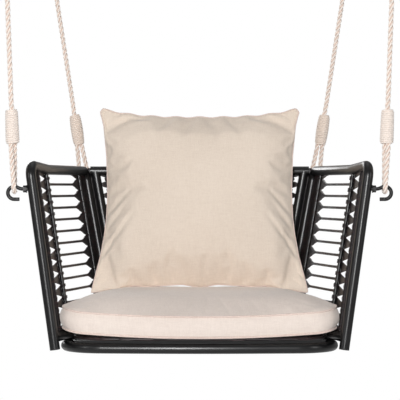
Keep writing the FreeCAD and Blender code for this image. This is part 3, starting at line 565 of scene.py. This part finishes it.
def side_lacing(name, side):
    bars = Bars()
    half = PITCH / 2
    over = ROD + 0.0018
    first, second, third = ROD_PLACES
    for z in [RUNGS[0] + PITCH] + RUNGS + [RUNGS[-1] - PITCH]:
        shown = RAIL_Z + TUBE < z < RIM_Z - TUBE
        if shown:
            for way in (1, -1):
                strand(bars, [
                    laced(side, second, z + way * 0.0016, -over), laced(side, 0.32, z + way * 0.0014),
                    laced(side, 0.5, z + way * 0.0013), laced(side, 0.74, z + way * 0.0014),
                ], 0.0015)
        for n in range(-4, 5):
            strand(bars, [
                laced(side, first + 0.004, z + n * 0.0006, n * 0.0002),
                laced(side, 0.16, z + n * 0.0011, -0.0006), laced(side, second, z + n * 0.0028, -over),
            ], 0.0016)
            if abs(n) < 4:
                strand(bars, [
                    laced(side, second, z + n * 0.0030, -over),
                    laced(side, 0.274, z + n * 0.0022, -0.001), laced(side, 0.300, z + n * 0.0004),
                ], 0.0013)
        for way in (1, -1):
            for near in (0.0, 0.0022):
                level = z + way * (half - 0.0012 - near)
                strand(bars, [
                    laced(side, 0.700, z + way * 0.0014), laced(side, 0.722, z + way * 0.0022),
                    laced(side, 0.786 - near, level - way * 0.0006), laced(side, 0.80, level),
                    laced(side, third, level, -over), laced(side, 0.976, level, -0.001),
                ], 0.0015)
            for n in range(4):
                level = way * (0.0012 + n * 0.0024)
                strand(bars, [
                    laced(side, 0.722 + 0.058 * abs(level) / half, z + level),
                    laced(side, third, z + level, -over), laced(side, 0.976, z + level, -0.001),
                ], 0.0014)
        middle = z - half
        if RAIL_Z + TUBE + 0.004 < middle < RIM_Z - TUBE:
            heading = panel(side, second, middle + 0.01) - panel(side, second, middle)
            wraps(bars, panel(side, second, middle), heading, ROD, 2.6, 0.0014)
            wraps(bars, panel(side, third, middle), heading, ROD, 1.6, 0.0011)
    foot, head = laced(side, first, -2), laced(side, first, 0)
    bumps = 2 * math.pi * (head - foot).length / PITCH

    def swell(part):
        return ROD + 0.0008 + 0.0010 * math.sin(part * bumps) ** 2

    bars.add(coil(foot, head - foot, swell, (head - foot).length, 0.0023, 10), ring(0.0011, 5))
    groove = Vector((-side * (TUBE + 0.00075), -0.004, 0))
    strand(bars, [panel(side, 1, z) + groove for z in (RIM_Z - TUBE, -0.77, RAIL_Z)], 0.0014)
    corner = panel(side, 1, RIM_Z) + Vector((-side * (TUBE - 0.001), 0.001, 0))
    strand(bars, [corner - Vector((0, 0, 0.02)), corner, corner + Vector((0, 0, 0.007))], 0.0045, 0.004, 10)
    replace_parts(bars.made(name + "_side_lacing", "seat", "rattan", rattan), name + "_side_weave")


def back_lacing():
    bars = Bars()
    over = ROD + 0.0018
    post = BACK_POST + TUBE
    for z in [RUNGS[0] + PITCH] + RUNGS:
        for way in (1, -1):
            if z < RIM_Z - TUBE:
                points = [
                    (BACK_ROD, z + way * 0.0016, -over), (BACK_ROD + 0.012, z + way * 0.0014, 0),
                    (BACK_ROD + 0.05, z + way * 0.0013, 0),
                ]
                strand(bars, [back(-1, *p) for p in points] + [back(1, *p) for p in reversed(points)], 0.0015)
        for side in (-1, 1):
            for n in range(-4, 5):
                rise = [min(z + n * gap, RIM_Z - TUBE + 0.001) for gap in (0.0006, 0.0028, 0.0004)]
                strand(bars, [
                    back(side, post - 0.001, rise[0]), back(side, BACK_ROD, rise[1], -over),
                    back(side, BACK_ROD + 0.012, rise[2]),
                ], 0.0015)
            middle = z - PITCH / 2
            if RAIL_Z + TUBE + 0.004 < middle:
                heading = back(side, BACK_ROD, middle + 0.01) - back(side, BACK_ROD, middle)
                wraps(bars, back(side, BACK_ROD, middle), heading, ROD, 2.6, 0.0014)
    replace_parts(bars.made("back_lacing", "seat", "rattan", rattan), "back_weave")


def plan(front_half, rear_half, rear_y, bow, front_round, rear_round, step=0.008):
    """A seat-shaped outline that bows forward at the front, its corners rounded."""
    corners = [
        Vector((-front_half, FRONT_Y)), Vector((0, FRONT_Y - bow)), Vector((front_half, FRONT_Y)),
        Vector((rear_half, rear_y)), Vector((-rear_half, rear_y)),
    ]
    rounds = (front_round, 1.2, front_round, rear_round, rear_round)
    line = []
    for n, (corner, radius) in enumerate(zip(corners, rounds)):
        before, after = (corners[n - 1] - corner).normalized(), (corners[(n + 1) % 5] - corner).normalized()
        half = before.angle(after) / 2
        cut = radius / math.tan(half)
        centre = corner + (before + after).normalized() * (radius / math.sin(half))
        first, last = corner + before * cut - centre, corner + after * cut - centre
        sweep = last.angle_signed(first)
        for part in np.linspace(0, 1, 14):
            a = math.atan2(first.y, first.x) + sweep * part
            line.append((centre.x + radius * math.cos(a), centre.y + radius * math.sin(a), 0))
    line = even(line + [line[0]], step)[:-1]
    return line


def half_width(outline, y):
    """Half the outline's width at a depth, or None outside it."""
    best = None
    for a, b in zip(outline, np.roll(outline, -1, 0)):
        if (a[1] - y) * (b[1] - y) <= 0 and a[1] != b[1]:
            x = abs(lerp(a[0], b[0], (y - a[1]) / (b[1] - a[1])))
            best = x if best is None else max(best, x)
    return best


def deck_weave():
    """Weft strands over and under flat warps, bound by a thicker strand round the edge."""
    bars = Bars()
    low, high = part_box("seat_deck_weave")
    level = (low.z + high.z) / 2 + 0.0003
    outline = plan(0.2985, 0.1935, 0.1723, 0.021, 0.085, 0.098)
    weft, spacing, gap = 0.0016, 0.0052, 0.030
    y, row = low.y + 0.007, 0
    while y < high.y - 0.005:
        reach = half_width(outline, y)
        if reach:
            reach -= 0.002
            count = max(2, int(2 * reach / gap))
            at = np.linspace(-reach, reach, count * 2 + 1)
            weave = [0 if n % 2 == 0 else 0.0021 * (-1) ** ((n - 1) // 2 + row) for n in range(len(at))]
            points = [(x, y, level + over) for x, over in zip(at, weave)]
            bars.add(even(nurbs(points, 4), 0.006), ring(weft, 6))
        y += spacing
        row += 1
    flat = ring(1.0, 8) * (0.0035, 0.0009)
    for x in np.arange(-0.27, 0.271, gap):
        depths = np.arange(low.y, high.y, 0.004)
        inside = [y for y in depths if (half_width(outline, y) or 0) > abs(x) + 0.003]
        if len(inside) > 3:
            bars.add(even([(x, inside[0], level), (x, inside[-1], level)], 0.012), flat)
    bars.add(np.array(outline) * (0.985, 0.985, 1) + (0, 0, level), ring(0.0034, 8), closed=True)
    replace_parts(bars.made("woven_deck", "seat", "rattan", rattan), "seat_deck_weave")


# ---------------------------------------------------------------- cushions


def puff(obj, seam, pressure, cap, grow):
    """Inflate a sewn cover between its seams; no point moves further than the cap."""
    group = obj.vertex_groups.new(name="seam")
    for index, hold in seam.items():
        group.add([index], hold, "REPLACE")
    cloth = obj.modifiers.new("Cloth", "CLOTH")
    rules = cloth.settings
    rules.vertex_group_mass = "seam"
    rules.use_pressure = True
    rules.uniform_pressure_force = pressure
    rules.shrink_min = -grow
    rules.effector_weights.gravity = 0
    rules.quality = 7
    cloth.point_cache.frame_start, cloth.point_cache.frame_end = 1, 20
    scene = bpy.context.scene
    for number in range(1, 21):
        scene.frame_set(number)
    swollen = bpy.data.meshes.new_from_object(obj.evaluated_get(bpy.context.evaluated_depsgraph_get()))
    before = np.array([v.co for v in obj.data.vertices])
    move = np.array([v.co for v in swollen.vertices]) - before
    size = np.linalg.norm(move, axis=1)[:, None]
    move *= np.minimum(1, cap / np.maximum(size, 1e-9))
    obj.modifiers.remove(cloth)
    obj.data.vertices.foreach_set("co", (before + move).astype(np.float32).ravel())
    obj.data.update()
    bpy.data.meshes.remove(swollen)
    scene.frame_set(1)


def smooth(obj, sewn):
    """Round the cover between its sewn lines, which stay sharp."""
    crease = obj.data.attributes.new("crease_edge", "FLOAT", "EDGE")
    crease.data.foreach_set("value", [float(a in sewn and b in sewn) for a, b in obj.data.edge_keys])
    modifier = obj.modifiers.new("Smooth", "SUBSURF")
    modifier.levels = modifier.render_levels = 1


def lift(x, y):
    """How far the seat cushion's seams rise from the middle of its front edge."""
    return 0.012 * min(1.2, abs(x) / 0.29) ** 2.2 + 0.019 * min(1, max(0, y - FRONT_Y) / 0.25) ** 0.8


def seat_cushion():
    outline = plan(0.3095, 0.209, 0.1570, 0.0275, 0.060, 0.040, 0.0075)
    count = len(outline)
    middle = np.array([0, -0.045, 0])
    front, tall = -0.9062, 0.0448

    def loop(share, z_of):
        made = middle + (outline - middle) * share
        return [(p[0], p[1], z_of(p)) for p in made]

    loops, seams = [], []
    for share in (0.04, 0.14, 0.25, 0.36, 0.47, 0.58, 0.68, 0.77, 0.85, 0.915, 0.965):
        loops.append(loop(share, lambda p: max(-0.9505, front - tall + lift(p[0], p[1]) * share**6 - 0.001)))
    seams.append(len(loops))
    loops.append(loop(1.0, lambda p: front - tall + lift(p[0], p[1])))
    for part in (0.18, 0.38, 0.6, 0.8):
        out = 1.0 + 0.027 * math.sin(math.pi * part)
        loops.append(loop(out, lambda p: front - tall * (1 - part) + lift(p[0], p[1])))
    seams.append(len(loops))
    loops.append(loop(1.0, lambda p: front + lift(p[0], p[1])))
    for share in (0.965, 0.915, 0.85, 0.77, 0.68, 0.58, 0.47, 0.36, 0.25, 0.14, 0.04):
        rise = 0.024 * (1 - share**6)
        loops.append(loop(share, lambda p: min(-0.8690, front + lift(p[0], p[1]) + rise)))
    points = [p for made in loops for p in made]
    faces = []
    for n in range(len(loops) - 1):
        for k in range(count):
            m = (k + 1) % count
            faces.append((n * count + k, n * count + m, (n + 1) * count + m, (n + 1) * count + k))
    for n, way in ((0, -1), (len(loops) - 1, 1)):
        centre = len(points)
        points.append(tuple(np.mean(loops[n], axis=0)))
        for k in range(count):
            tri = (n * count + k, n * count + (k + 1) % count, centre)
            faces.append(tri if way > 0 else tri[::-1])
    obj = build("seat_cushion_cover", points, faces, cover)
    sewn = {n * count + k for n in seams for k in range(count)}
    held = {index: 1.0 for index in sorted(sewn)}
    held.update({k: 0.9 for k in range(seams[0] * count)})
    puff(obj, held, 3.0, 0.008, 0.012)
    smooth(placed(obj, "seat_cushion_body"), sewn)
    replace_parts(obj, "seat_cushion")
    bars = Bars()
    for n in seams:
        line = np.array(loops[n])
        out = (line - middle) * (1, 1, 0)
        out /= np.linalg.norm(out, axis=1)[:, None]
        bars.add(line + out * 0.0012, ring(0.0021, 8), closed=True)
    bars.made("seat_cushion_piping", "seat_cushion_body", "cushion_fabric", welt)


# The pillow's outline in mm from its middle: height and half width down its side, then half width
# and height along its foot. After it, its folds: height, slope, width, inner end and depth.
PILLOW_SIDE = (
    (219, 227), (208, 235), (196, 231), (176, 226), (102, 218), (14, 214.5),
    (-46, 216.5), (-84, 221), (-132, 229), (-180, 241), (-214, 249),
)
PILLOW_FOOT = ((0, -208), (38, -201), (120, -206), (149, -204), (183, -213), (242, -220))


CREASES = (
    (-0.62, 1.3, 0.050, 0.66, 0.022), (-0.36, 1.2, 0.040, 0.72, 0.020), (-0.18, 1.0, 0.035, 0.74, 0.017),
    (0.02, 0.7, 0.040, 0.76, 0.013), (0.36, -0.5, 0.045, 0.78, 0.008), (0.72, -0.9, 0.05, 0.72, 0.010),
)


def pillow_edge(side, across):
    """The pillow's outline at a share of its height or width, half by half, in metres."""
    heights = [h for h, _ in PILLOW_SIDE][::-1]
    widths = [w for _, w in PILLOW_SIDE][::-1]
    half = np.interp(side * 217, heights, widths) / 1000
    x = abs(across) * 242
    foot = np.interp(x, [a for a, _ in PILLOW_FOOT], [b for _, b in PILLOW_FOOT]) / 1000
    head = 0.2015 + 0.0205 * abs(across) ** 3 + 0.0016 * math.cos(across * 26)
    return half, foot, head


def creases(across, up):
    """Depth of the folds that run in from the pillow's sides and foot."""
    depth = 0.0
    for at, slope, width, reach, deep in CREASES:
        side = abs(across)
        off = (up - at - slope * (1 - side)) / width
        depth += deep * math.exp(-off * off) * max(0, (side - reach) / (1 - reach)) * (1 - side**8)
    pulls = 0.0012 * math.cos(across * 26) * max(0, up) ** 5
    return depth * (1 - up**8) + pulls * (1 - abs(across) ** 6) * (1 - up**8)


def pillow():
    lean = math.radians(15)
    centre = Vector((0, 0.11754, -0.66133))
    wide, tall = 72, 66
    grid = {}
    points, faces, seam = [], [], {}

    def spot(i, j):
        u, v = 2 * i / wide - 1, 2 * j / tall - 1
        u, v = math.sin(u * math.pi / 2) * 0.35 + u * 0.65, math.sin(v * math.pi / 2) * 0.35 + v * 0.65
        half, foot, head = pillow_edge(v, u)
        z = lerp(foot, head, (v + 1) / 2)
        return u, v, u * half, z

    for sheet in (-1, 1):
        for i in range(wide + 1):
            for j in range(tall + 1):
                rim = i in (0, wide) or j in (0, tall)
                if rim and sheet == 1:
                    grid[1, i, j] = grid[-1, i, j]
                    continue
                u, v, x, z = spot(i, j)
                bulge = ((1 - abs(u) ** 2.3) * (1 - abs(v) ** 2.3)) ** 0.62
                thick = (0.062 if sheet == -1 else 0.056) * bulge - creases(u, v)
                y = sheet * thick
                grid[sheet, i, j] = len(points)
                if rim:
                    seam[len(points)] = 1.0
                points.append((x, y, z))
        for i in range(wide):
            for j in range(tall):
                around = ((i, j), (i + 1, j), (i + 1, j + 1), (i, j + 1))
                quad = [grid[(sheet, *spot_at)] for spot_at in around]
                faces.append(tuple(quad if sheet == -1 else quad[::-1]))
    obj = build("back_pillow_cover", points, faces, pillow_cover)
    puff(obj, seam, 3.5, 0.012, 0.05)
    obj.rotation_euler = (-lean, 0, 0)
    obj.location = centre
    bpy.context.view_layer.update()
    smooth(placed(obj, "back_cushion_body"), seam)
    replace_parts(obj, "back_cushion")
    edge = [(i, 0) for i in range(wide)] + [(wide, j) for j in range(tall)]
    edge += [(i, tall) for i in range(wide, 0, -1)] + [(0, j) for j in range(tall, 0, -1)]
    line = np.array([points[grid[-1, i, j]] for i, j in edge])
    bars = Bars()
    bars.add(even(np.r_[line, line[:1]], 0.005)[:-1], ring(0.0015, 6), closed=True)
    hem = build("back_pillow_seam", np.concatenate(bars.points), bars.faces, welt)
    hem.rotation_euler = (-lean, 0, 0)
    hem.location = centre
    placed(hem, "back_cushion_body")


studio()
dress_cad()
for name, side in SIDES.items():
    for end in ("front", "rear"):
        rope(end, name, side)
for name, side in SIDES.items():
    side_lacing(name, side)
back_lacing()
deck_weave()
seat_cushion()
pillow()
